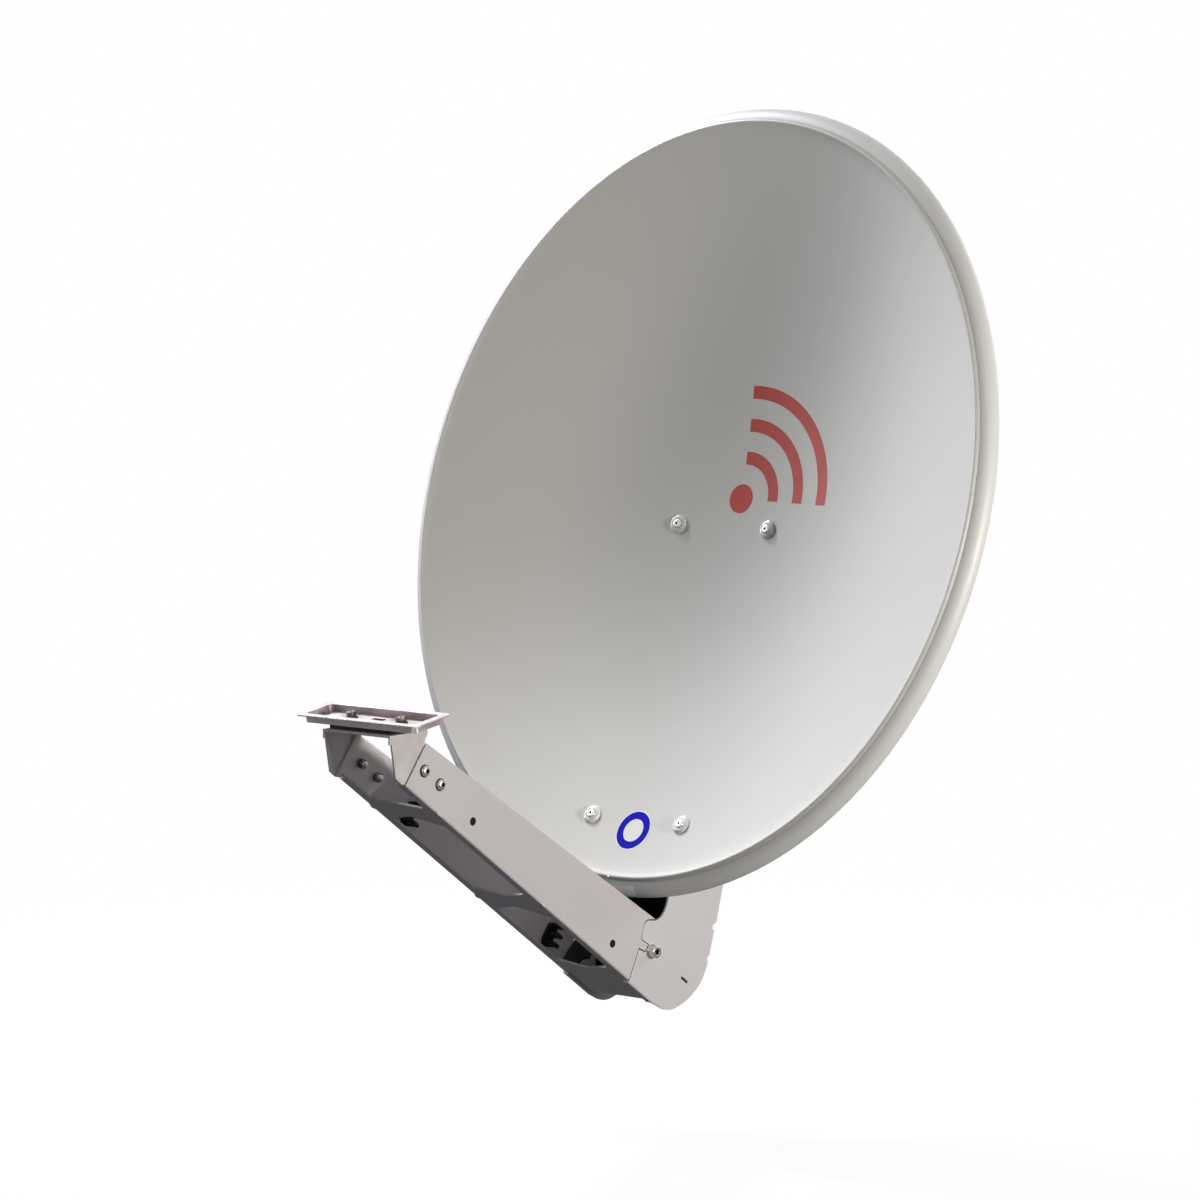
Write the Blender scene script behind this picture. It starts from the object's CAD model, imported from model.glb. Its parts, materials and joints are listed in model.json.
"""Oval satellite dish on a mast clamp, with a feed arm reaching out below the bowl.

World: metres, +Z up. The mast stands on the Z axis and the bowl opens towards -Y, tipped upwards.
Lengths are in millimetres until the MM factor turns them into metres.
Dish frame: origin at the centre of the rim, x across, y backwards, z up the rim.
Arm frame: origin by the feed end, y back along the arm. Tray frame: by the feed, y backwards.
"""
import json
import math

import bmesh
import bpy
from mathutils import Matrix, Vector


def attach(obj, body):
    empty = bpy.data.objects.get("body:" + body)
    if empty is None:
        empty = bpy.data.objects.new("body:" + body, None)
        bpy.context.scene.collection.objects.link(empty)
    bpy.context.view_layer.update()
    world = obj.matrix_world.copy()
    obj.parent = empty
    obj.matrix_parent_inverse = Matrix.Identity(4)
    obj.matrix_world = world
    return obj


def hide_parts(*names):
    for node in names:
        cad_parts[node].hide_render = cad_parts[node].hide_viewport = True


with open("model.json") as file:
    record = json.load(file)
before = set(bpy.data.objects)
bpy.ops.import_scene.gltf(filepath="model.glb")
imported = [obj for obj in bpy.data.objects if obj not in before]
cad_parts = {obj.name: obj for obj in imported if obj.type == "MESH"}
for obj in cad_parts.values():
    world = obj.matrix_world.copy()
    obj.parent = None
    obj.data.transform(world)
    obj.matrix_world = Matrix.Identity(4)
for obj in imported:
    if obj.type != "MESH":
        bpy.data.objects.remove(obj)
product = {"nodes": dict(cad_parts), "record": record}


def write_size():
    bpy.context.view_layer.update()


write_size()

# ---------------------------------------------------------------- driving dimensions
MM = 0.001
SIDES = (-1, 1)                        # -X side, +X side

TILT_DEG = 16.0                        # upward tip of the dish
TILT = math.radians(TILT_DEG)
COS_TILT, SIN_TILT = math.cos(TILT), math.sin(TILT)
TRAY_TURN_DEG = 26.05                  # tray, relative to the dish
PIVOT_Y, PIVOT_Z = -75.0, -35.0        # pivot bolt in the world
PIVOT_IN_DISH = (108.0, -300.0)        # the same bolt's y, z in the dish frame
DISH_Y = PIVOT_Y - (PIVOT_IN_DISH[0] * COS_TILT + PIVOT_IN_DISH[1] * SIN_TILT)
DISH_Z = PIVOT_Z - (-PIVOT_IN_DISH[0] * SIN_TILT + PIVOT_IN_DISH[1] * COS_TILT)

HALF_WIDTH = 400.0                     # bowl, centre to rim along x
RATIO = 1.1                            # height of the oval over its width
BOWL_DEPTH = 76.4
SHEET = 1.2                            # reflector sheet

ARM_FACE = 49.73                       # x where hardware sits on the arm's sides
ARM_BOLT = (449.0, 44.5)               # y, z of the arm bolts in the arm frame
MAST_FACE = 49.75                      # x where hardware sits on the mast bracket's sides
LOCK_Z = PIVOT_Z + 80.0

M6_RADIUS, M8_RADIUS = 3.0, 4.0
M8_PITCH = 1.25
M6_NUT = dict(across=10.0, thick=5.2, bore=3.03)
M8_ACROSS = 13.0
M8_BORE = 4.04


def frame_at(parent, y, z, degrees):
    turn = Matrix.Rotation(math.radians(degrees), 4, "X")
    return parent @ Matrix.Translation((0, y * MM, z * MM)) @ turn


WORLD = Matrix.Identity(4)
DISH = frame_at(WORLD, DISH_Y, DISH_Z, -TILT_DEG)
ARM = frame_at(DISH, -409.9, -408.9, -19.3)
TRAY = frame_at(DISH, -453.3, -352.8, TRAY_TURN_DEG)


# ---------------------------------------------------------------- node helpers
def srgb(red, green, blue):
    """Linear colour from 8-bit sRGB."""
    def linear(channel):
        c = channel / 255.0
        return c / 12.92 if c <= 0.04045 else ((c + 0.055) / 1.055) ** 2.4
    return (linear(red), linear(green), linear(blue), 1.0)


def feed(socket, value):
    """Links a socket into an input, or sets a plain value on it."""
    if isinstance(value, bpy.types.NodeSocket):
        socket.id_data.links.new(value, socket)
    else:
        socket.default_value = value


def add_node(tree, kind, inputs=None, **settings):
    node = tree.nodes.new("ShaderNode" + kind)
    for key, value in settings.items():
        setattr(node, key, value)
    for key, value in (inputs or {}).items():
        feed(node.inputs[key], value)
    return node


class Surface:
    """A Principled material whose textures run in object coordinates (metres)."""

    def __init__(self, name):
        self.material = bpy.data.materials.new(name)
        self.material.use_nodes = True
        self.tree = self.material.node_tree
        self.coords = self.add("TexCoord").outputs["Object"]
        self.material.diffuse_color = (0.6, 0.6, 0.6, 1)

    def add(self, kind, inputs=None, **settings):
        return add_node(self.tree, kind, inputs, **settings)

    def mapping(self, scale, rotation):
        node = self.add("Mapping", {"Scale": scale, "Rotation": rotation, "Vector": self.coords})
        return node.outputs["Vector"]

    def noise(self, scale, detail, rough, vector=None):
        node = self.add("TexNoise", {"Scale": scale, "Detail": detail, "Roughness": rough,
                                     "Vector": vector or self.coords})
        return node.outputs["Fac"]

    def voronoi(self, scale, feature, output, vector=None):
        node = self.add("TexVoronoi", {"Scale": scale, "Vector": vector or self.coords},
                        feature=feature)
        return node.outputs[output]

    def remap(self, value, to, over=(0.3, 0.7)):
        """Maps the range `over` onto the range `to`."""
        node = self.add("MapRange", {"From Min": over[0], "From Max": over[1],
                                     "To Min": to[0], "To Max": to[1], "Value": value})
        return node.outputs["Result"]

    def math(self, operation, a, b):
        return self.add("Math", {0: a, 1: b}, operation=operation).outputs[0]

    def tint(self, base, value):
        """Base colour scaled by a value round 1."""
        return self.add("HueSaturation", {"Color": base, "Value": value}).outputs["Color"]

    def mix_colour(self, factor, a, b):
        return self.add("Mix", {0: factor, 6: a, 7: b}, data_type="RGBA").outputs[2]

    def bump(self, height, strength, distance, normal=None):
        inputs = {"Strength": strength, "Distance": distance, "Height": height}
        if normal is not None:
            inputs["Normal"] = normal
        return self.add("Bump", inputs).outputs["Normal"]

    def along(self, direction, origin):
        """Distance of a point from an origin along a direction, in metres."""
        dot = self.add("VectorMath", {0: self.coords, 1: direction}, operation="DOT_PRODUCT")
        start = float(Vector(direction).dot(Vector(origin)))
        return self.math("SUBTRACT", dot.outputs["Value"], start)

    def finish(self, **inputs):
        """Sets the Principled inputs (underscores stand for spaces) and returns the material."""
        for key, value in inputs.items():
            feed(self.tree.nodes["Principled BSDF"].inputs[key.replace("_", " ")], value)
        return self.material


# ---------------------------------------------------------------- material kinds
def powder(name, base, rough, grain, depth, spec, blotch, coat=0.0, wave=0.0):
    """Powder coat: fine orange-peel texture, a faint mottle and slow drift in tone."""
    surf = Surface(name)
    fine = surf.noise(grain, detail=4.0, rough=0.65)
    mottle = surf.noise(160.0, detail=3.0, rough=0.5)
    slow = surf.noise(7.0, detail=2.0, rough=0.5)
    value = surf.math("ADD", surf.remap(fine, to=(-0.035, 0.035)),
                      surf.remap(mottle, to=(-0.012, 0.012)))
    value = surf.math("ADD", value, surf.remap(slow, to=(1.0 - blotch, 1.0 + blotch)))
    roughness = surf.remap(surf.noise(60.0, detail=3.0, rough=0.6),
                           to=(rough - 0.05, rough + 0.06))
    normal = surf.bump(surf.noise(grain * 0.6, detail=3.0, rough=0.6),
                       strength=0.35, distance=depth)
    if wave:
        normal = surf.bump(surf.noise(26.0, detail=2.0, rough=0.5),
                           strength=wave, distance=0.0002, normal=normal)
    return surf.finish(Base_Color=surf.tint(base, value), Roughness=roughness,
                       Specular_IOR_Level=spec, Coat_Weight=coat, Coat_Roughness=0.3,
                       Normal=normal)


def dish_coat():
    """Reflector coat: darker line in the groove behind the bead, slightly cooler skirt."""
    surf = Surface("dish_powder_coat")
    fine = surf.noise(1500.0, detail=4.0, rough=0.65)
    slow = surf.noise(7.0, detail=2.0, rough=0.5)
    value = surf.math("ADD", surf.remap(fine, to=(-0.03, 0.03)),
                      surf.remap(slow, to=(0.99, 1.01)))
    # distance from the dish's axis, with the oval squeezed to a circle
    x = surf.add("SeparateXYZ", {0: surf.coords}).outputs["X"]
    height = surf.along((0, SIN_TILT, COS_TILT), (0, DISH_Y * MM, DISH_Z * MM))
    height = surf.math("DIVIDE", height, RATIO)
    squares = surf.math("ADD", surf.math("MULTIPLY", x, x),
                        surf.math("MULTIPLY", height, height))
    radius = surf.math("SQRT", squares, 0.0)
    off_groove = surf.math("SUBTRACT", radius, (HALF_WIDTH + 2.3) * MM)
    off_groove = surf.math("ABSOLUTE", off_groove, 0.0)
    groove = surf.remap(off_groove, to=(0.66, 1.0), over=(0.0006, 0.0030))
    value = surf.math("MULTIPLY", value, groove)
    skirt = surf.remap(radius, to=(0.0, 1.0),
                       over=((HALF_WIDTH + 2.0) * MM, (HALF_WIDTH + 5.0) * MM))
    face_colour = surf.tint(srgb(214, 213, 208), value)
    skirt_colour = surf.tint(srgb(203, 204, 203), value)
    return surf.finish(
        Base_Color=surf.mix_colour(skirt, face_colour, skirt_colour),
        Roughness=surf.remap(surf.noise(90.0, detail=2.0, rough=0.5), to=(0.43, 0.45)),
        Specular_IOR_Level=0.5,
        Normal=surf.bump(surf.noise(900.0, detail=3.0, rough=0.6),
                         strength=0.35, distance=0.0001))


def pan_inputs(surf, base, value, metallic, hollow):
    """Colour and metallic of the tray: its front is pale, its hollows behind are darkened."""
    occlusion = surf.add("AmbientOcclusion", {"Distance": 0.016}, samples=8)
    shade = surf.remap(occlusion.outputs["AO"], to=(hollow, 1.0), over=(0.35, 0.98))
    turn = math.radians(TRAY_TURN_DEG - TILT_DEG)
    tray_y = ((0.0, math.cos(turn), math.sin(turn)), tuple(TRAY.translation))
    behind = surf.remap(surf.along(*tray_y), to=(0.0, 1.0), over=(0.0086, 0.0094))
    factor = surf.math("ADD", surf.math("MULTIPLY", shade, behind),
                       surf.math("SUBTRACT", 1.0, behind))
    value = surf.math("MULTIPLY", value, factor)
    front = surf.remap(surf.along(*tray_y), to=(1.0, 0.0), over=(0.0070, 0.0082))
    colour = surf.mix_colour(front, surf.tint(base, value),
                             surf.tint(srgb(250, 244, 243), value))
    not_front = surf.math("SUBTRACT", 1.0, surf.math("MULTIPLY", front, 1.0))
    return dict(Base_Color=colour, Metallic=surf.math("MULTIPLY", metallic, not_front))


def metal(name, base, rough, streak, scratch, patchy, metallic=1.0, spangle=0.0,
          streak_turn=0.0, hollow=0.0):
    """Plated sheet or turned steel: rolling streaks, spangle, scratches and dull patches."""
    surf = Surface(name)
    streaks = surf.noise(1.0, detail=3.0, rough=0.7,
                         vector=surf.mapping((38, 1400, 1400), (0, 0, streak_turn)))
    fine = surf.noise(1100.0, detail=3.0, rough=0.6)
    patches = surf.noise(42.0, detail=4.0, rough=0.62)
    value = surf.math(
        "ADD", surf.remap(streaks, to=(1.0 - 0.09 * streak, 1.0 + 0.09 * streak)),
        surf.remap(patches, to=(-0.12 * patchy, 0.10 * patchy), over=(0.35, 0.65)))
    if spangle:
        grey = surf.add("RGBToBW", {0: surf.voronoi(190.0, "F1", "Color")}).outputs[0]
        flakes = surf.remap(grey, to=(-0.09 * spangle, 0.09 * spangle), over=(0.2, 0.8))
        value = surf.math("ADD", value, flakes)
    roughness = surf.math("ADD", surf.remap(streaks, to=(rough - 0.07, rough + 0.07)),
                          surf.remap(patches, to=(-0.06, 0.10)))
    cells = surf.voronoi(1.0, "DISTANCE_TO_EDGE", "Distance",
                         surf.mapping((55, 300, 300), (0.4, 0.9, 0.3)))
    line = surf.remap(cells, to=(1.0, 0.0), over=(0.0, 0.02))
    roughness = surf.math("ADD", roughness, surf.math("MULTIPLY", line, 0.18 * scratch))
    value = surf.math("SUBTRACT", value, surf.math("MULTIPLY", line, 0.22 * scratch))
    if hollow:
        inputs = pan_inputs(surf, base, value, metallic, hollow)
    else:
        inputs = dict(Base_Color=surf.tint(base, value), Metallic=metallic,
                      Anisotropic=0.3 * streak)
    normal = surf.bump(streaks, strength=0.12 * streak, distance=0.0001)
    normal = surf.bump(surf.math("MULTIPLY", line, -1.0), strength=0.3 * scratch,
                       distance=0.00008, normal=normal)
    normal = surf.bump(fine, strength=0.10, distance=0.00006, normal=normal)
    return surf.finish(Roughness=roughness, Normal=normal, **inputs)


def moulded(name, base, rough, spec=0.45):
    """Moulded plastic: fine spark-eroded grain with slightly polished high spots."""
    surf = Surface(name)
    grain = surf.noise(700.0, detail=4.0, rough=0.7)
    tone = surf.noise(35.0, detail=3.0, rough=0.5)
    return surf.finish(
        Base_Color=surf.tint(base, surf.remap(tone, to=(0.8, 1.25))),
        Roughness=surf.remap(grain, to=(rough - 0.08, rough + 0.12)),
        Specular_IOR_Level=spec, Normal=surf.bump(grain, strength=0.4, distance=0.00012))


def ink(name, base, rough, spec=0.4):
    """Printed ink or film: slightly uneven over the coat's texture."""
    surf = Surface(name)
    fine = surf.noise(520.0, detail=4.0, rough=0.65)
    tone = surf.noise(45.0, detail=3.0, rough=0.5)
    value = surf.math("ADD", surf.remap(fine, to=(0.95, 1.05)),
                      surf.remap(tone, to=(-0.05, 0.05)))
    return surf.finish(
        Base_Color=surf.tint(base, value),
        Roughness=surf.remap(fine, to=(rough - 0.05, rough + 0.08)),
        Specular_IOR_Level=spec, Normal=surf.bump(fine, strength=0.25, distance=0.00006))


# ---------------------------------------------------------------- materials
BRACKET_FINISH = dict(grain=1150.0, depth=0.00018, spec=0.4, blotch=0.02, wave=0.12)
CROSSWISE = 1.5708                     # streaks turned a quarter about Z

DISH_COAT = dish_coat()
ARM_COAT = powder("arm_powder_coat", srgb(187, 183, 186), rough=0.52, **BRACKET_FINISH)
FOOT_COAT = powder("bracket_powder_coat", srgb(192, 190, 194), rough=0.50, **BRACKET_FINISH)
ZINC = metal("zinc_sheet", srgb(190, 188, 186), rough=0.38, streak=0.8, spangle=0.6,
             scratch=0.5, patchy=0.5, metallic=0.45)
STAINLESS = metal("stainless_sheet", srgb(196, 190, 190), rough=0.40, streak=0.7,
                  scratch=0.6, patchy=0.35, metallic=0.25)
PAN = metal("stainless_pan", srgb(214, 204, 206), rough=0.36, streak=0.7,
            scratch=0.6, patchy=0.45, metallic=0.72, hollow=0.34)
STEEL = metal("bright_steel", srgb(212, 207, 200), rough=0.27, streak=0.5,
              scratch=0.3, patchy=0.3, metallic=0.85, streak_turn=CROSSWISE)
DULL_STEEL = metal("dull_steel", srgb(124, 110, 102), rough=0.30, streak=0.5,
                   scratch=0.4, patchy=0.6, metallic=0.95, streak_turn=CROSSWISE)
ALUMINIUM = metal("rivet_aluminium", srgb(222, 222, 221), rough=0.36, streak=0.3,
                  scratch=0.3, patchy=0.3, metallic=0.55)
BLACK = moulded("black_plastic", srgb(17, 16, 21), rough=0.5, spec=0.22)
INNER_PLATE = moulded("unpainted_inner_plate", srgb(58, 55, 56), rough=0.6, spec=0.2)
WEDGE = moulded("dark_wedge_plastic", srgb(34, 30, 33), rough=0.5)
CAP_GLOSS = powder("cap_gloss", srgb(224, 224, 223), rough=0.24, grain=900.0, depth=0.00004,
                   spec=0.5, blotch=0.01, coat=0.4)
RED = ink("red_ink", srgb(196, 62, 48), rough=0.38)
BLUE = ink("blue_ink", srgb(6, 10, 190), rough=0.65, spec=0.06)
LABEL = ink("label_film", srgb(240, 240, 240), rough=0.3)
GREY_LABEL = ink("grey_label_film", srgb(240, 239, 234), rough=0.4)
DARK = moulded("dark_recess", srgb(26, 24, 24), rough=0.6)
SHADOW_STEEL = metal("shadowed_steel", srgb(64, 56, 50), rough=0.34, streak=0.4,
                     scratch=0.3, patchy=0.4, streak_turn=CROSSWISE)

SLOT_MATERIALS = {"reflector_coat": DISH_COAT, "bracket_coat": ARM_COAT, "galvanised": ZINC,
                  "fastener_steel": STEEL, "rivet_metal": ALUMINIUM, "black_plastic": BLACK}
NODE_MATERIALS = {"feed_tray": PAN, "feed_bracket": STAINLESS, "tray_wedge": WEDGE,
                  "splice_plates": INNER_PLATE, "rear_bracket": FOOT_COAT}

# node: width of its rounded edges, mm
EDGE_WIDTHS = {"feed_arm": 0.45, "rear_bracket": 0.45, "feed_bracket": 0.4, "feed_tray": 0.35,
               "mast_bracket": 0.5, "mast_saddles": 0.4, "bracket_tie": 0.4,
               "foot_cover": 0.5, "cable_clips": 0.4, "splice_plates": 0.3,
               "tray_wedge": 0.4}


# ---------------------------------------------------------------- the product's own nodes
def paint(obj, material):
    obj.data.materials.clear()
    obj.data.materials.append(material)


def paint_nodes():
    for row in product["record"]["subparts"]:
        obj = product["nodes"][row["node"]]
        paint(obj, SLOT_MATERIALS[row["material_slot"]])
    for node, material in NODE_MATERIALS.items():
        paint(product["nodes"][node], material)


def soften(node, width):
    """Small rounded edges, so a sheet part catches the light as bent and cut metal does."""
    obj = product["nodes"][node]
    weld = obj.modifiers.new("weld", "WELD")
    weld.merge_threshold = 0.00001
    planar = obj.modifiers.new("planar", "DECIMATE")
    planar.decimate_type = "DISSOLVE"
    planar.angle_limit = math.radians(0.6)
    bevel = obj.modifiers.new("edge", "BEVEL")
    bevel.width = width * MM
    bevel.segments = 2
    bevel.limit_method = "ANGLE"
    bevel.angle_limit = math.radians(32.0)
    bevel.use_clamp_overlap = True
    bevel.harden_normals = False
    normals = obj.modifiers.new("normals", "WEIGHTED_NORMAL")
    normals.keep_sharp = True
    normals.weight = 60
    for polygon in obj.data.polygons:
        polygon.use_smooth = True


# ---------------------------------------------------------------- mesh helpers
def new_mesh(name, verts, faces, material, body="dish_head", smooth=True,
             sharp_angle=None, replaces=None):
    """Object from metre vertices; edges bent beyond sharp_angle (degrees) stay sharp."""
    mesh = bpy.data.meshes.new(name)
    mesh.from_pydata(verts, [], faces)
    mesh.update()
    bm = bmesh.new()
    bm.from_mesh(mesh)
    bmesh.ops.recalc_face_normals(bm, faces=bm.faces)
    if sharp_angle is not None:
        limit = math.radians(sharp_angle)
        for edge in bm.edges:
            if len(edge.link_faces) == 2 and edge.calc_face_angle(0.0) > limit:
                edge.smooth = False
    for face in bm.faces:
        face.smooth = smooth
    bm.to_mesh(mesh)
    bm.free()
    mesh.materials.append(material)
    obj = bpy.data.objects.new(name, mesh)
    bpy.context.scene.collection.objects.link(obj)
    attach(obj, body)
    if replaces:
        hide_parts(replaces)
    return obj


def placed(frame, point):
    """World vertex in metres of a millimetre point in a frame."""
    return tuple(frame @ (Vector(point) * MM))


def grid_faces(rows, n, start=0, closed=True):
    """Quads between rows of n points each, each row closed into a loop or left open."""
    return [(start + i * n + k, start + i * n + (k + 1) % n,
             start + (i + 1) * n + (k + 1) % n, start + (i + 1) * n + k)
            for i in range(rows - 1) for k in range(n if closed else n - 1)]


def cap_faces(rows, n, start=0):
    return [tuple(start + k for k in reversed(range(n))),
            tuple(start + (rows - 1) * n + k for k in range(n))]


def basis(point, axis):
    """Matrix that puts local Z along an axis at a point (millimetres)."""
    z = Vector(axis).normalized()
    x = z.orthogonal().normalized()
    y = z.cross(x)
    matrix = Matrix((x, y, z)).transposed().to_4x4()
    matrix.translation = Vector(point)
    return matrix


class RingStack:
    """Collects lofted stacks of rings, all in one frame, into one mesh."""

    def __init__(self, frame):
        self.frame = frame
        self.verts, self.faces, self.indices = [], [], []

    def add(self, seat, axis, rings, n, caps=True, material_of=lambda band: 0):
        """rings: (height along the axis, radius or a function giving it from the angle).
        material_of gives the material index of a band from its number."""
        place = basis(seat, axis)
        start = len(self.verts)
        for height, radius in rings:
            for k in range(n):
                a = 2 * math.pi * k / n
                r = radius(a) if callable(radius) else radius
                point = place @ Vector((r * math.cos(a), r * math.sin(a), height))
                self.verts.append(placed(self.frame, point))
        rows = len(rings)
        self.faces += grid_faces(rows, n, start)
        self.indices += [material_of(band) for band in range(rows - 1) for _ in range(n)]
        if caps:
            self.faces += cap_faces(rows, n, start)
            self.indices += [material_of(0), material_of(rows - 2)]

    def build(self, name, materials, replaces=None, body="dish_head", slot="fastener_steel",
              sharp_angle=34.0):
        obj = new_mesh(name, self.verts, self.faces, materials[0], body,
                       sharp_angle=sharp_angle, replaces=replaces)
        for material in materials[1:]:
            obj.data.materials.append(material)
        for polygon, index in zip(obj.data.polygons, self.indices):
            polygon.material_index = index


# ---------------------------------------------------------------- fastener shapes
# seat: point under the head, nut or washer; axis: outwards from the seat.
# across: across flats; length: of the shank behind the seat.
def hexagon(across, clip=None, turn=0.0):
    """Radius of a hexagon at an angle, optionally clipped by a circle."""
    def radius(angle):
        t = (angle + turn) % (math.pi / 3) - math.pi / 6
        r = across / 2 / math.cos(t)
        return min(r, clip) if clip else r
    return radius


def thread(radius, pitch, low, high, depth=None, steps=6):
    """Rings of a cut thread between two heights, steps to a turn."""
    depth = depth or pitch * 0.42
    n = int((high - low) / pitch * steps)
    rings = []
    for i in range(n + 1):
        h = low + (high - low) * i / n
        fade = min(1.0, (high - h) / pitch, (h - low) / (pitch * 0.7) + 0.1)

        def cut(angle, h=h, fade=fade):
            phase = (h / pitch - angle / (2 * math.pi)) % 1.0
            return radius - depth * fade * (abs(phase - 0.5) * 2.0)
        rings.append((h, cut))
    return rings


def socket_bolt(stack, seat, axis, head_radius, head, across, shank, length):
    """Cylindrical head with a hexagon recess; material 1 lines the recess."""
    floor = head - head * 0.55
    outside = [(-length, shank * 0.82), (-length + 0.8, shank), (-0.02, shank),
               (0.0, head_radius - 0.25), (0.3, head_radius),
               (head - 0.7, head_radius), (head - 0.25, head_radius - 0.22),
               (head, head_radius - 0.75), (head, across / 2 * 1.155 + 0.55)]
    recess = [(head - 0.35, hexagon(across + 0.25)), (head - 0.8, hexagon(across)),
              (floor, hexagon(across)), (floor - 0.8, 0.8)]
    stack.add(seat, axis, outside + recess, 48,
              material_of=lambda band: 1 if band >= len(outside) else 0)


def round_screw(stack, seat, axis, rim_radius, across, shank, length):
    """Domed head on a thin rim (material 2), hexagon recess (material 1), threaded shank."""
    rings = [(-length, shank * 0.6), (-length + 0.4, shank * 0.82)]
    rings += thread(shank, 1.0, -length + 0.8, -1.2, depth=0.34, steps=5)
    rings += [(-0.02, shank)]
    rim_start = len(rings)
    rings += [(0.0, rim_radius - 0.3), (0.25, rim_radius), (1.0, rim_radius),
              (1.45, rim_radius - 0.25), (1.62, rim_radius - 0.8), (1.6, rim_radius - 1.15)]
    dome_start = len(rings)
    rings += [(1.8, 5.95), (2.6, 5.85), (3.4, 5.5), (4.1, 4.9), (4.6, 4.15), (4.85, 3.4),
              (4.95, 2.5)]
    recess_start = len(rings) - 1
    rings += [(4.75, hexagon(across + 0.2)), (4.4, hexagon(across)), (2.4, hexagon(across)),
              (1.6, 0.8)]

    def material_of(band):
        if band >= recess_start:
            return 1
        return 2 if rim_start <= band < dome_start else 0
    stack.add(seat, axis, rings, 48, material_of=material_of)


def hex_nut(stack, seat, axis, across, thick, bore, turn=0.0, flange=None):
    """Hexagon nut, with a flange of the given radius if wanted."""
    top = across / 2 * 1.02
    flats = hexagon(across, None, turn)
    if flange:
        rings = [(0.0, bore + 0.5), (0.0, flange - 0.3), (0.35, flange), (0.9, flange),
                 (1.5, flange - 1.0), (1.9, flats)]
    else:
        rings = [(0.0, bore + 0.6), (0.0, hexagon(across, top, turn)), (0.9, flats)]
    rings += [(thick - 1.0, flats), (thick - 0.45, hexagon(across, across / 2 * 1.09, turn)),
              (thick, hexagon(across, top - 0.3, turn)), (thick, bore + 0.7),
              (thick - 0.6, bore), (0.4, bore), (0.0, bore + 0.5)]
    stack.add(seat, axis, rings, 72, caps=False)


def flat_washer(stack, seat, axis, radius, thick, bore):
    rings = [(0.0, bore), (0.0, radius - 0.15), (0.2, radius), (thick - 0.3, radius),
             (thick, radius - 0.25), (thick, bore + 0.1), (thick - 0.1, bore), (0.0, bore)]
    stack.add(seat, axis, rings, 56, caps=False)


def hex_bolt(stack, seat, axis, across, head, shank, length, threaded, pitch):
    half = across / 2
    rings = [(-length, shank * 0.6), (-length + 0.5, shank * 0.8)]
    rings += thread(shank, pitch, -length + 0.9, -length + threaded)
    rings += [(-0.02, shank), (0.0, half * 0.98), (0.35, half * 0.99),
              (0.36, hexagon(across, half * 1.03)), (1.0, hexagon(across)),
              (head - 1.0, hexagon(across)), (head - 0.4, hexagon(across, half * 1.08)),
              (head, half * 0.94), (head, half * 0.8), (head - 0.15, half * 0.7)]
    stack.add(seat, axis, rings, 72)


# ---------------------------------------------------------------- reflector
def bowl_y(x, z=0.0):
    """Depth of the bowl's face behind the rim plane."""
    return BOWL_DEPTH * (1 - (x / HALF_WIDTH) ** 2 - (z / (HALF_WIDTH * RATIO)) ** 2)


def face_normal(x, z):
    half_height = HALF_WIDTH * RATIO
    return Vector((-2 * BOWL_DEPTH * x / HALF_WIDTH ** 2, -1.0,
                   -2 * BOWL_DEPTH * z / half_height ** 2)).normalized()


def oval(radius, angle, y):
    """Dish-frame point on the oval that is `radius` wide from its centre."""
    return (radius * math.cos(angle), y, radius * math.sin(angle) * RATIO)


def spline(points, per_span):
    """Natural cubic through 2D points, parametrised by chord length."""
    n = len(points)
    t = [0.0]
    for i in range(1, n):
        t.append(t[-1] + math.dist(points[i], points[i - 1]))
    step = [t[i + 1] - t[i] for i in range(n - 1)]
    curves = []
    for axis in range(2):
        v = [p[axis] for p in points]
        diag, upper, rhs = [1.0] * n, [0.0] * n, [0.0] * n
        for i in range(1, n - 1):
            bend = (3 / step[i] * (v[i + 1] - v[i]) - 3 / step[i - 1] * (v[i] - v[i - 1]))
            diag[i] = 2 * (t[i + 1] - t[i - 1]) - step[i - 1] * upper[i - 1]
            upper[i] = step[i] / diag[i]
            rhs[i] = (bend - step[i - 1] * rhs[i - 1]) / diag[i]
        linear, square, cube = [0.0] * n, [0.0] * n, [0.0] * n
        for j in range(n - 2, -1, -1):
            square[j] = rhs[j] - upper[j] * square[j + 1]
            linear[j] = ((v[j + 1] - v[j]) / step[j]
                         - step[j] * (square[j + 1] + 2 * square[j]) / 3)
            cube[j] = (square[j + 1] - square[j]) / 3 / step[j]
        curves.append((v, linear, square, cube))
    out = []
    for i in range(n - 1):
        for k in range(per_span):
            u = step[i] * k / per_span
            out.append(tuple(v[i] + b[i] * u + c[i] * u * u + d[i] * u ** 3
                             for v, b, c, d in curves))
    out.append(tuple(points[-1]))
    return out


# profile stations: (radius along x, y behind the rim plane)
BOWL_EDGE = HALF_WIDTH - 5.0
SKIRT_EDGE = (HALF_WIDTH + 17.4, 19.0)
BEAD = [(BOWL_EDGE, bowl_y(BOWL_EDGE)), (HALF_WIDTH - 2.2, 0.35), (HALF_WIDTH + 0.2, -0.45),
        (HALF_WIDTH + 1.9, 0.9), (HALF_WIDTH + 3.0, 3.2)]
SKIRT = [BEAD[-1], (HALF_WIDTH + 8.4, 5.2), (HALF_WIDTH + 13.6, 9.7),
         (HALF_WIDTH + 16.6, 15.4), SKIRT_EDGE]
# turned-in hem, as offsets from the skirt's edge
HEM = [(0.0, 0.0), (-0.35, 0.9), (-1.4, 1.5), (-5.5, 1.6)]


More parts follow.
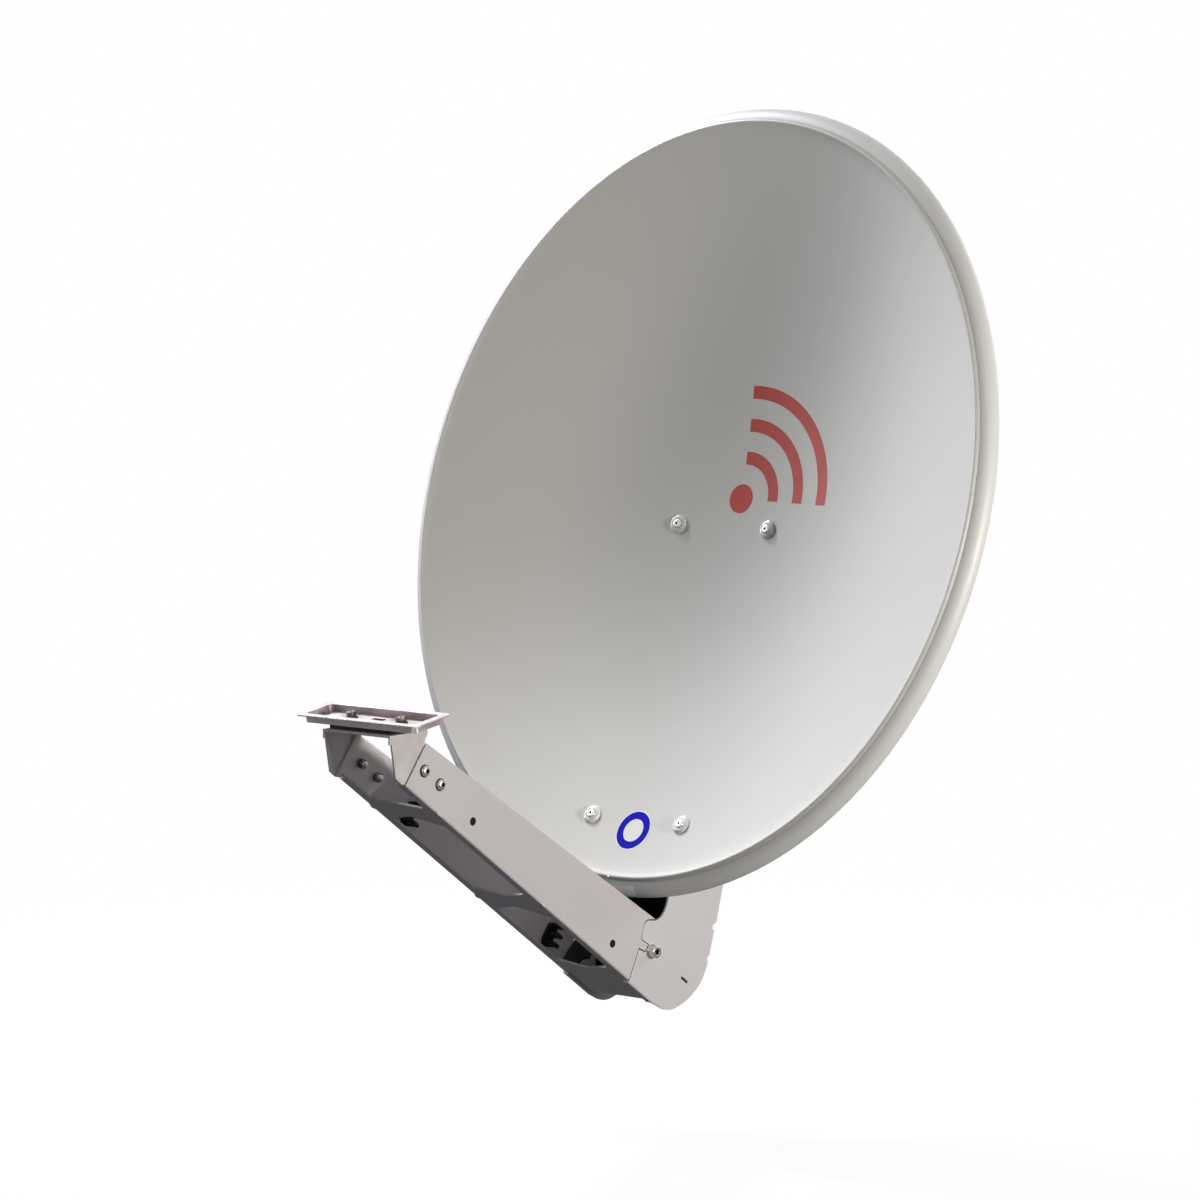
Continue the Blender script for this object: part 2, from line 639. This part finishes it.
def reflector():
    """Pressed sheet swept round the oval: bowl, rolled bead, flared skirt and hem."""
    bowl_steps, around = 40, 288
    front = [(BOWL_EDGE * i / bowl_steps, bowl_y(BOWL_EDGE * i / bowl_steps))
             for i in range(1, bowl_steps)]
    front += spline(BEAD, 4)[:-1] + spline(SKIRT, 5)[:-1]
    front += [(SKIRT_EDGE[0] + out, SKIRT_EDGE[1] + back) for out, back in HEM]
    rear = []
    for i in range(len(front) - 1, -1, -1):
        before, after = front[max(0, i - 1)], front[min(len(front) - 1, i + 1)]
        dr, dy = after[0] - before[0], after[1] - before[1]
        run = math.hypot(dr, dy)
        rear.append((front[i][0] - dy / run * SHEET, front[i][1] + dr / run * SHEET))
    profile = front + rear
    verts = [placed(DISH, oval(r, 2 * math.pi * k / around, y))
             for r, y in profile for k in range(around)]
    faces = grid_faces(len(profile), around)
    front_centre = len(verts)
    rear_centre = front_centre + 1
    verts.append(placed(DISH, (0, BOWL_DEPTH, 0)))
    verts.append(placed(DISH, (0, BOWL_DEPTH + SHEET, 0)))
    last = (len(profile) - 1) * around
    for k in range(around):
        k2 = (k + 1) % around
        faces.append((front_centre, k, k2))
        faces.append((rear_centre, last + k2, last + k))
    new_mesh("reflector_shell", verts, faces, DISH_COAT,
             sharp_angle=50.0, replaces="reflector")


# ---------------------------------------------------------------- marks and labels
MARK_CENTRE = (18.0, 14.0)             # x, z on the face
LABEL_CENTRE = (0.0, -384.0)


def face_mark(name, centre, sectors, lift, material):
    """Film lying on the bowl's face. sectors: (inner radius, outer radius, start degrees,
    end degrees, steps round, steps outwards)."""
    verts, faces = [], []
    for inner, outer, begin, end, around, outward in sectors:
        faces += grid_faces(outward + 1, around + 1, len(verts), closed=False)
        for i in range(outward + 1):
            r = inner + (outer - inner) * i / outward
            for k in range(around + 1):
                a = math.radians(begin + (end - begin) * k / around)
                x, z = centre[0] + r * math.cos(a), centre[1] + r * math.sin(a)
                point = Vector((x, bowl_y(x, z), z)) + face_normal(x, z) * lift
                verts.append(placed(DISH, point))
    new_mesh(name, verts, faces, material)


def marks():
    """Red dot with three arcs, and a round label low on the face."""
    arcs = [(inner, inner + 15.0, -2.0, 92.0, 48, 4) for inner in (40.0, 78.0, 116.0)]
    face_mark("signal_mark", MARK_CENTRE, [(0.0, 17.0, 0, 360, 48, 4)] + arcs,
              lift=0.12, material=RED)
    face_mark("round_label_film", LABEL_CENTRE, [(0.0, 24.0, 0, 360, 64, 6)],
              lift=0.10, material=LABEL)
    face_mark("round_label_ring", LABEL_CENTRE, [(13.6, 22.4, 0, 360, 64, 4)],
              lift=0.16, material=BLUE)


def skirt_label():
    """Blank film on the bottom of the skirt."""
    turn_from, turn_to = -92.2, -86.2      # degrees round the rim
    out_from, out_to = 0.22, 0.66          # 0 at the skirt's groove, 1 at its edge
    lift = 0.35
    around, outward = 24, 8
    curve = spline(SKIRT, 8)
    verts = []
    for i in range(outward + 1):
        station = (out_from + (out_to - out_from) * i / outward) * (len(curve) - 1)
        index = min(int(station), len(curve) - 2)
        f = station - index
        (r0, y0), (r1, y1) = curve[index], curve[index + 1]
        run = math.hypot(r1 - r0, y1 - y0)
        r = r0 * (1 - f) + r1 * f + (y1 - y0) / run * lift
        y = y0 * (1 - f) + y1 * f - (r1 - r0) / run * lift
        for k in range(around + 1):
            turn = math.radians(turn_from + (turn_to - turn_from) * k / around)
            verts.append(placed(DISH, oval(r, turn, y)))
    faces = grid_faces(outward + 1, around + 1, closed=False)
    new_mesh("blank_skirt_label", verts, faces, GREY_LABEL)


def rim_nub():
    """Small pip on the bottom of the bead."""
    stack = RingStack(DISH)
    stack.add(oval(HALF_WIDTH + 0.6, math.radians(-91.2), -0.55), (0, -0.75, -0.66),
              [(-0.6, 1.0), (0.0, 1.25), (0.5, 1.2), (0.9, 0.9), (1.1, 0.4)], 20)
    stack.build("rim_nub", [LABEL], slot=None, sharp_angle=40.0)


# ---------------------------------------------------------------- reflector fixings
# (height, radius) of each turned shape
CAP_RINGS = [(0.26, 3.35), (0.26, 10.6), (0.45, 10.9), (0.9, 10.95), (1.5, 10.7),
             (2.1, 10.1), (2.7, 9.2), (3.15, 8.2), (3.4, 7.2), (3.45, 6.5), (3.3, 6.0),
             (3.1, 5.8), (3.1, 3.35), (0.26, 3.35)]
STUD_RINGS = [(-8.6, 3.6), (-8.4, 4.8), (-7.6, 5.0), (-6.8, 4.9), (-6.3, 4.4), (-6.2, 3.0),
              (3.1, 3.0), (3.15, 3.3), (3.2, 5.2), (3.5, 5.5), (3.9, 5.4), (4.35, 4.9),
              (4.7, 4.0), (4.85, 3.0), (4.8, 2.0)]
STUD_HOLE = [(4.6, 1.5), (4.3, 1.35), (1.4, 1.3), (1.2, 0.4)]
RIVET_RINGS = [(-7.0, 2.2), (-6.9, 3.6), (-6.2, 3.9), (-5.4, 3.8), (-5.2, 2.5), (0.0, 2.5),
               (0.02, 4.4), (0.2, 4.6), (0.6, 4.4), (1.1, 3.6), (1.45, 2.5), (1.5, 1.5),
               (1.1, 1.2), (1.0, 0.3)]


def face_fixings():
    """Four domed caps on the face, each with a hollow stud through it."""
    caps, studs = RingStack(DISH), RingStack(DISH)
    for z in (-20.5, -371.5):
        for side in SIDES:
            x = side * 66.5
            seat, axis = (x, bowl_y(x, z), z), face_normal(x, z)
            caps.add(seat, axis, CAP_RINGS, 64, caps=False)
            studs.add(seat, axis, STUD_RINGS + STUD_HOLE, 48,
                      material_of=lambda band: 1 if band >= len(STUD_RINGS) else 0)
    caps.build("fixing_caps", [CAP_GLOSS], "fixing_cups", slot="reflector_coat",
               sharp_angle=40.0)
    studs.build("fixing_studs", [ALUMINIUM, DARK], "fixing_rivets", slot="rivet_metal",
                sharp_angle=40.0)


# ---------------------------------------------------------------- arm
def arm_bolts():
    washer = 1.4
    bolts, washers = RingStack(ARM), RingStack(ARM)
    for side in SIDES:
        axis = (side, 0, 0)
        socket_bolt(bolts, (side * (ARM_FACE + washer + 0.03), *ARM_BOLT), axis,
                    head_radius=6.5, head=7.9, across=6.0, shank=M8_RADIUS, length=15.5)
        flat_washer(washers, (side * ARM_FACE, *ARM_BOLT), axis,
                    radius=8.4, thick=washer, bore=4.3)
    bolts.build("arm_socket_bolts", [STEEL, DARK], "arm_bolts")
    washers.build("arm_bolt_washers", [STEEL], "arm_washers")


def arm_prisms(name, pieces, material, replaces=None):
    """Flat-sided pieces on both sides of the arm. pieces: ((y, z) outline, x from, x to)."""
    verts, faces = [], []
    for side in SIDES:
        for outline, x0, x1 in pieces:
            start, n = len(verts), len(outline)
            for x in (x0, x1):
                verts += [placed(ARM, (side * x, y, z)) for y, z in outline]
            faces.append(tuple(start + k for k in range(n)))
            faces.append(tuple(start + n + k for k in reversed(range(n))))
            for k in range(n):
                k2 = (k + 1) % n
                faces.append((start + k, start + n + k, start + n + k2, start + k2))
    new_mesh(name, verts, faces, material, smooth=False, replaces=replaces)


def splice_plates():
    """Plates inside the arm's sides, each with a hexagon nut at the arm bolt."""
    plate_inside, plate_outside, nut_inside, nut_radius = 44.6, 47.1, 38.2, 7.5
    plate = [(423.0, 5.6), (446.0, 5.6), (452.0, 24.0), (462.0, 30.0), (462.0, 52.0),
             (455.0, 66.0), (440.0, 68.0), (433.0, 60.0), (430.0, 40.0)]
    corners = [math.radians(60 * k + 30) for k in range(6)]
    nut = [(ARM_BOLT[0] + nut_radius * math.cos(a), ARM_BOLT[1] + nut_radius * math.sin(a))
           for a in corners]
    arm_prisms("splice_backing_plates",
               [(plate, plate_inside, plate_outside), (nut, nut_inside, plate_inside)],
               INNER_PLATE, "splice_plates")


def bend_darts():
    """Stiffening darts across the arm's lower bends."""
    # (x, y from the dart's middle, z)
    points = [(49.68, -5.0, 0.35), (49.68, 5.0, 0.35), (49.66, 0.0, 9.0), (40.0, 0.0, 0.04),
              (50.35, 0.0, -0.65), (47.0, 0.0, 3.0)]
    triangles = [(0, 4, 2), (4, 1, 2), (0, 3, 4), (4, 3, 1),
                 (0, 2, 5), (2, 1, 5), (1, 3, 5), (3, 0, 5)]
    verts, faces = [], []
    for middle in (62.0, 262.0):
        for side in SIDES:
            start = len(verts)
            verts += [placed(ARM, (side * x, middle + y, z)) for x, y, z in points]
            faces += [tuple(start + k for k in triangle) for triangle in triangles]
    new_mesh("arm_bend_darts", verts, faces, ARM_COAT, smooth=False)


def slot_floors():
    """Thin dark strips lying in the slots of the arm's sides."""
    strip = [(511.8, 43.9), (524.2, 43.9), (524.2, 46.5), (511.8, 46.5)]
    arm_prisms("slot_floor_film", [(strip, 48.12, 48.35)], DARK)


def feed_screws():
    """Round screws through the arm's sides near the feed, with nuts inside."""
    z = 27.3
    nut_seat = 47.2 - 0.25 - 2.5 - 0.03
    screws, nuts = RingStack(ARM), RingStack(ARM)
    for y in (15.5, 44.5):
        for side in SIDES:
            round_screw(screws, (side * ARM_FACE, y, z), (side, 0, 0),
                        rim_radius=6.9, across=3.5, shank=M6_RADIUS, length=14.5)
            hex_nut(nuts, (side * nut_seat, y, z), (-side, 0, 0), turn=0.3 * y, **M6_NUT)
    screws.build("feed_round_screws", [STEEL, DARK, SHADOW_STEEL], "feed_screws")
    nuts.build("feed_hex_nuts", [DULL_STEEL], "feed_nuts", sharp_angle=30.0)


def tray_bolts():
    """Upright bolts of the tray, heads down, washers and nuts on top."""
    bolt_x, bolt_y, head_z = 36.9, 32.3, -20.0
    washer_z, washer = -6.5 + 0.06, 1.4
    bolts, nuts, washers = RingStack(TRAY), RingStack(TRAY), RingStack(TRAY)
    for side in SIDES:
        x = side * bolt_x
        hex_bolt(bolts, (x, bolt_y, head_z), (0, 0, -1), across=10.0, head=4.0,
                 shank=M6_RADIUS, length=20.7, threaded=16.0, pitch=1.0)
        flat_washer(washers, (x, bolt_y, washer_z), (0, 0, 1),
                    radius=7.0, thick=washer, bore=3.2)
        hex_nut(nuts, (x, bolt_y, washer_z + washer + 0.04), (0, 0, 1),
                turn=0.2 + 0.5 * (side > 0), **M6_NUT)
    bolts.build("tray_hex_bolts", [DULL_STEEL], "tray_bolts")
    washers.build("tray_flat_washers", [DULL_STEEL], "tray_washers")
    nuts.build("tray_hex_nuts", [DULL_STEEL], "tray_nuts", sharp_angle=30.0)


def blind_rivets():
    """Rivets through the sides of the bracket behind the dish."""
    stack = RingStack(DISH)
    for y, z in ((96.0, -60.0), (96.0, -90.0), (62.0, -410.0), (112.0, -410.0)):
        for side in SIDES:
            stack.add((side * 49.72, y, z), (side, 0, 0), RIVET_RINGS, 36)
    stack.build("blind_rivets", [ALUMINIUM], "plate_rivets", slot="rivet_metal",
                sharp_angle=40.0)


# ---------------------------------------------------------------- mast bracket
def pivot_hardware():
    """Long pivot bolt with its head on the +X side and its nut on the -X side."""
    washer = 1.6
    seat_x = MAST_FACE + washer + 0.02
    bolt, washers, nut = RingStack(WORLD), RingStack(WORLD), RingStack(WORLD)
    hex_bolt(bolt, (seat_x, PIVOT_Y, PIVOT_Z), (1, 0, 0), across=M8_ACROSS, head=5.3,
             shank=M8_RADIUS, length=2 * MAST_FACE + 3.3 + 10.0, threaded=26.0,
             pitch=M8_PITCH)
    for side in SIDES:
        flat_washer(washers, (side * MAST_FACE, PIVOT_Y, PIVOT_Z), (side, 0, 0),
                    radius=8.0, thick=washer, bore=M8_BORE)
    hex_nut(nut, (-seat_x, PIVOT_Y, PIVOT_Z), (-1, 0, 0),
            across=M8_ACROSS, thick=7.5, bore=M8_BORE)
    bolt.build("pivot_hex_bolt", [STEEL], "pivot_bolt", "mast_mount", sharp_angle=30.0)
    washers.build("pivot_flat_washers", [STEEL], "pivot_washers", "mast_mount")
    nut.build("pivot_lock_nut", [STEEL], "pivot_nut", "mast_mount", sharp_angle=30.0)


def lock_hardware():
    """Carriage bolts above the pivot, heads inside, flange nuts outside."""
    head_x = 46.4 - 4.0 - 0.05
    washer = 2.0
    rings = [(-4.0, 7.5), (-3.7, 8.6), (-2.6, 9.6), (-1.4, 10.0), (0.0, 10.0),
             (0.01, M8_RADIUS)]
    rings += thread(M8_RADIUS, M8_PITCH, 4.2, 25.3) + [(25.5, 3.0)]
    bolts, nuts, washers = RingStack(WORLD), RingStack(WORLD), RingStack(WORLD)
    for side in SIDES:
        axis = (side, 0, 0)
        bolts.add((side * head_x, PIVOT_Y, LOCK_Z), axis, rings, 48)
        flat_washer(washers, (side * MAST_FACE, PIVOT_Y, LOCK_Z), axis,
                    radius=11.0, thick=washer, bore=M8_BORE)
        hex_nut(nuts, (side * (MAST_FACE + washer + 0.03), PIVOT_Y, LOCK_Z), axis,
                across=M8_ACROSS, thick=7.6, bore=M8_BORE, flange=8.6)
    bolts.build("lock_carriage_bolts", [STEEL], "lock_bolts", "mast_mount")
    washers.build("lock_flat_washers", [STEEL], "lock_washers", "mast_mount")
    nuts.build("lock_flange_nuts", [STEEL], "lock_nuts", "mast_mount", sharp_angle=30.0)


# ---------------------------------------------------------------- U-bolts round the mast
UBOLT_RADIUS = 34.1                    # mast axis to the rod's centre line
UBOLT_Z = 50.0                         # above and below the origin
UBOLT_TIP = -52.0                      # y of the leg ends
UBOLT_THREADED = 26.0


def ubolt_thread_radius(y, angle):
    fade = min(1.0, (y - UBOLT_TIP) / 0.8 + 0.15, (UBOLT_TIP + UBOLT_THREADED - y) / 1.5)
    wave = abs(((y / M8_PITCH + angle / (2 * math.pi)) % 1.0) - 0.5)
    radius = M8_RADIUS - 0.5 * max(0.0, fade) * wave * 2
    if y - UBOLT_TIP < 0.5:
        radius -= 0.5
    return radius


def ubolt_rod(name, z, body, node):
    """Bent rod: legs point to -Y with cut threads, the bend passes behind the mast."""
    r, leg_y, bend_steps, n = UBOLT_RADIUS, -20.0, 40, 28
    steps = int(UBOLT_THREADED / M8_PITCH * 5)
    threads = [UBOLT_TIP + UBOLT_THREADED * i / steps for i in range(steps + 1)]
    # (x, y, direction x, direction y, threaded)
    path = [(-r, y, 0, 1, True) for y in threads] + [(-r, leg_y, 0, 1, False)]
    for i in range(bend_steps + 1):
        a = math.pi - math.pi * i / bend_steps
        path.append((r * math.cos(a), r * math.sin(a), math.sin(a), -math.cos(a), False))
    path += [(r, leg_y, 0, -1, False)] + [(r, y, 0, -1, True) for y in reversed(threads)]
    up = Vector((0, 0, 1))
    verts = []
    for x, y, dx, dy, threaded in path:
        side = Vector((dx, dy, 0)).cross(up).normalized()
        for k in range(n):
            a = 2 * math.pi * k / n
            radius = ubolt_thread_radius(y, a) if threaded else M8_RADIUS
            point = (Vector((x, y, z)) + side * (radius * math.cos(a))
                     + up * (radius * math.sin(a)))
            verts.append(placed(WORLD, point))
    faces = grid_faces(len(path), n) + cap_faces(len(path), n)
    new_mesh(name, verts, faces, STEEL, body, sharp_angle=60.0,
             replaces=node)


def ubolts():
    ubolt_rod("ubolt_upper_rod", UBOLT_Z, "upper_ubolt", "ubolt_upper")
    ubolt_rod("ubolt_lower_rod", -UBOLT_Z, "lower_ubolt", "ubolt_lower")
    washer_y, washer, bore = -38.03, 1.5, 4.06
    nuts, washers = RingStack(WORLD), RingStack(WORLD)
    for side in SIDES:
        for level in (-1, 1):
            x, z = side * UBOLT_RADIUS, level * UBOLT_Z
            flat_washer(washers, (x, washer_y, z), (0, -1, 0),
                        radius=7.6, thick=washer, bore=bore)
            hex_nut(nuts, (x, washer_y - washer - 0.03, z), (0, -1, 0), across=M8_ACROSS,
                    thick=6.8, bore=bore, turn=0.4 * side + 0.2 * level)
    washers.build("ubolt_flat_washers", [STEEL], "ubolt_washers", "mast_mount")
    nuts.build("ubolt_hex_nuts", [STEEL], "ubolt_nuts", "mast_mount", sharp_angle=30.0)


# ---------------------------------------------------------------- stage (metres)
scene = bpy.context.scene
RIM_CENTRE = (0.0, -0.096, 0.283)      # what the lights round the rim aim at
FLOOR_Z = -0.43
# sky as other rays see it: (position from straight down to straight up, colour)
SKY = [(0.42, (0.16, 0.155, 0.15, 1)), (0.52, (0.42, 0.41, 0.40, 1)),
       (0.75, (0.80, 0.80, 0.81, 1))]
SKY_BOTTOM, SKY_TOP = (0.10, 0.095, 0.09, 1), (1.05, 1.05, 1.08, 1)


def studio_world():
    """White to the camera, nearly black to glossy rays, a graded sky to all others."""
    world = bpy.data.worlds.new("studio")
    scene.world = world
    world.use_nodes = True
    tree = world.node_tree
    tree.nodes.clear()

    def background(colour, strength):
        return add_node(tree, "Background", {0: colour, 1: strength}).outputs[0]

    def either(flag, off, on):
        return add_node(tree, "MixShader", {0: flag, 1: off, 2: on}).outputs[0]

    output = add_node(tree, "OutputWorld")
    rays = add_node(tree, "LightPath").outputs
    coords = add_node(tree, "TexCoord").outputs["Generated"]
    height = add_node(tree, "SeparateXYZ", {0: coords}).outputs["Z"]
    ramp = add_node(tree, "ValToRGB")
    stops = ramp.color_ramp.elements
    stops[0].position, stops[0].color = 0.0, SKY_BOTTOM
    stops[1].position, stops[1].color = 1.0, SKY_TOP
    for position, colour in SKY:
        stops.new(position).color = colour
    level = add_node(tree, "MapRange", {"From Min": -1.0, "From Max": 1.0, "Value": height})
    feed(ramp.inputs["Fac"], level.outputs["Result"])
    unseen = either(rays["Is Glossy Ray"], background(ramp.outputs["Color"], 1.0),
                    background((0.95, 0.96, 1.0, 1), 0.02)) if False else either(
        rays["Is Glossy Ray"], background((0.95, 0.96, 1.0, 1), 0.02),
        background(ramp.outputs["Color"], 1.0))
    feed(output.inputs[0], either(rays["Is Camera Ray"], unseen,
                                  background((1, 1, 1, 1), 1.0)))


def floor_material():
    """To the camera a pale floor fading into white; to other rays a dark one."""
    material = bpy.data.materials.new("pale_floor")
    material.use_nodes = True
    tree = material.node_tree
    tree.nodes.clear()
    output = add_node(tree, "OutputMaterial")
    pale = add_node(tree, "BsdfDiffuse", {0: (0.9, 0.9, 0.9, 1)}).outputs[0]
    glow = add_node(tree, "Emission", {0: (1, 1, 1, 1), 1: 1.0}).outputs[0]
    dark = add_node(tree, "BsdfDiffuse", {0: (0.09, 0.09, 0.095, 1)}).outputs[0]
    rays = add_node(tree, "LightPath").outputs
    position = add_node(tree, "NewGeometry").outputs["Position"]
    distance = add_node(tree, "VectorMath", {0: position}, operation="LENGTH")
    fade = add_node(tree, "MapRange", {"From Min": 0.5, "From Max": 2.0, "To Min": 0.93,
                                       "To Max": 1.0, "Value": distance.outputs["Value"]},
                    interpolation_type="SMOOTHSTEP")
    seen = add_node(tree, "MixShader", {0: fade.outputs["Result"], 1: pale, 2: glow})
    either = add_node(tree, "MixShader", {0: rays["Is Camera Ray"], 1: dark,
                                          2: seen.outputs[0]})
    feed(output.inputs[0], either.outputs[0])
    return material


def studio_floor():
    mesh = bpy.data.meshes.new("floor")
    bm = bmesh.new()
    bmesh.ops.create_circle(bm, cap_ends=True, radius=60.0, segments=96)
    bm.to_mesh(mesh)
    bm.free()
    obj = bpy.data.objects.new("studio_floor", mesh)
    scene.collection.objects.link(obj)
    obj.location = (0, -0.2, FLOOR_Z)
    obj.data.materials.append(floor_material())


def softbox(name, location, power, aim=RIM_CENTRE, size=(0.45, 0.45), colour=(1, 1, 1)):
    light = bpy.data.lights.new(name, "AREA")
    light.shape = "RECTANGLE"
    light.size, light.size_y = size
    light.energy = power
    light.color = colour
    obj = bpy.data.objects.new(name, light)
    scene.collection.objects.link(obj)
    obj.location = location
    obj.rotation_mode = "QUATERNION"
    obj.rotation_quaternion = (Vector(aim) - Vector(location)).to_track_quat("-Z", "Y")


def from_rim(turn, lift):
    """Place 3.6 m from the rim's centre: turn in degrees from -X over the top,
    lift in degrees in front of the rim plane."""
    t, l = math.radians(turn), math.radians(lift)
    v = Vector((-math.cos(t) * math.cos(l), -math.sin(l), math.sin(t) * math.cos(l)))
    tipped = Vector((v.x, v.y * COS_TILT + v.z * SIN_TILT, -v.y * SIN_TILT + v.z * COS_TILT))
    return tuple(Vector(RIM_CENTRE) + tipped * 3.6)


def lights():
    cool, warm = (0.978, 0.985, 1.03), (1.0, 0.958, 0.885)
    softbox("left_high", from_rim(turn=25.0, lift=20.0), power=42.0, colour=cool)
    softbox("left_key", from_rim(turn=45.0, lift=8.0), power=148.0, colour=cool)
    softbox("left_low", from_rim(turn=5.0, lift=20.0), power=24.0, colour=cool)
    softbox("right_side", from_rim(turn=180.0, lift=8.0), power=118.0, colour=warm)
    softbox("front_low", (0.0, -3.35, 0.77), power=8.0, aim=(0.0, -0.1, 0.2),
            size=(1.6, 1.6), colour=(1.0, 0.97, 0.92))
    softbox("back_fill", (1.0, 3.2, 1.6), power=60.0, aim=(0.0, -0.1, 0.2), size=(2.2, 2.0))
    softbox("back_low", (-1.6, 2.6, 0.1), power=14.0, aim=(0.0, -0.1, 0.1), size=(1.6, 1.6))


def camera():
    """Long lens from the front, on the +X side and a little above."""
    data = bpy.data.cameras.new("camera")
    data.lens = 138.37
    data.sensor_width = 36.0
    data.sensor_fit = "HORIZONTAL"
    data.clip_start, data.clip_end = 0.05, 200.0
    obj = bpy.data.objects.new("camera", data)
    scene.collection.objects.link(obj)
    right = Vector((0.74589, 0.66607, 0.0005)).normalized()
    forward = Vector((-0.66354, 0.74312, -0.0865)).normalized()
    up = right.cross(forward).normalized()
    right = forward.cross(up).normalized()
    matrix = Matrix((right, up, -forward)).transposed().to_4x4()
    matrix.translation = Vector((3.4006, -4.0496, 0.6161))
    obj.matrix_world = matrix
    scene.camera = obj


# ---------------------------------------------------------------- build
paint_nodes()
for node_name, edge_width in EDGE_WIDTHS.items():
    soften(node_name, edge_width)

reflector()
marks()
skirt_label()
rim_nub()
face_fixings()
arm_bolts()
splice_plates()
bend_darts()
slot_floors()
feed_screws()
tray_bolts()
blind_rivets()
pivot_hardware()
lock_hardware()
ubolts()

scene.view_settings.view_transform = "Standard"
scene.view_settings.look = "None"
studio_world()
studio_floor()
lights()
camera()

bpy.context.view_layer.update()
write_size()
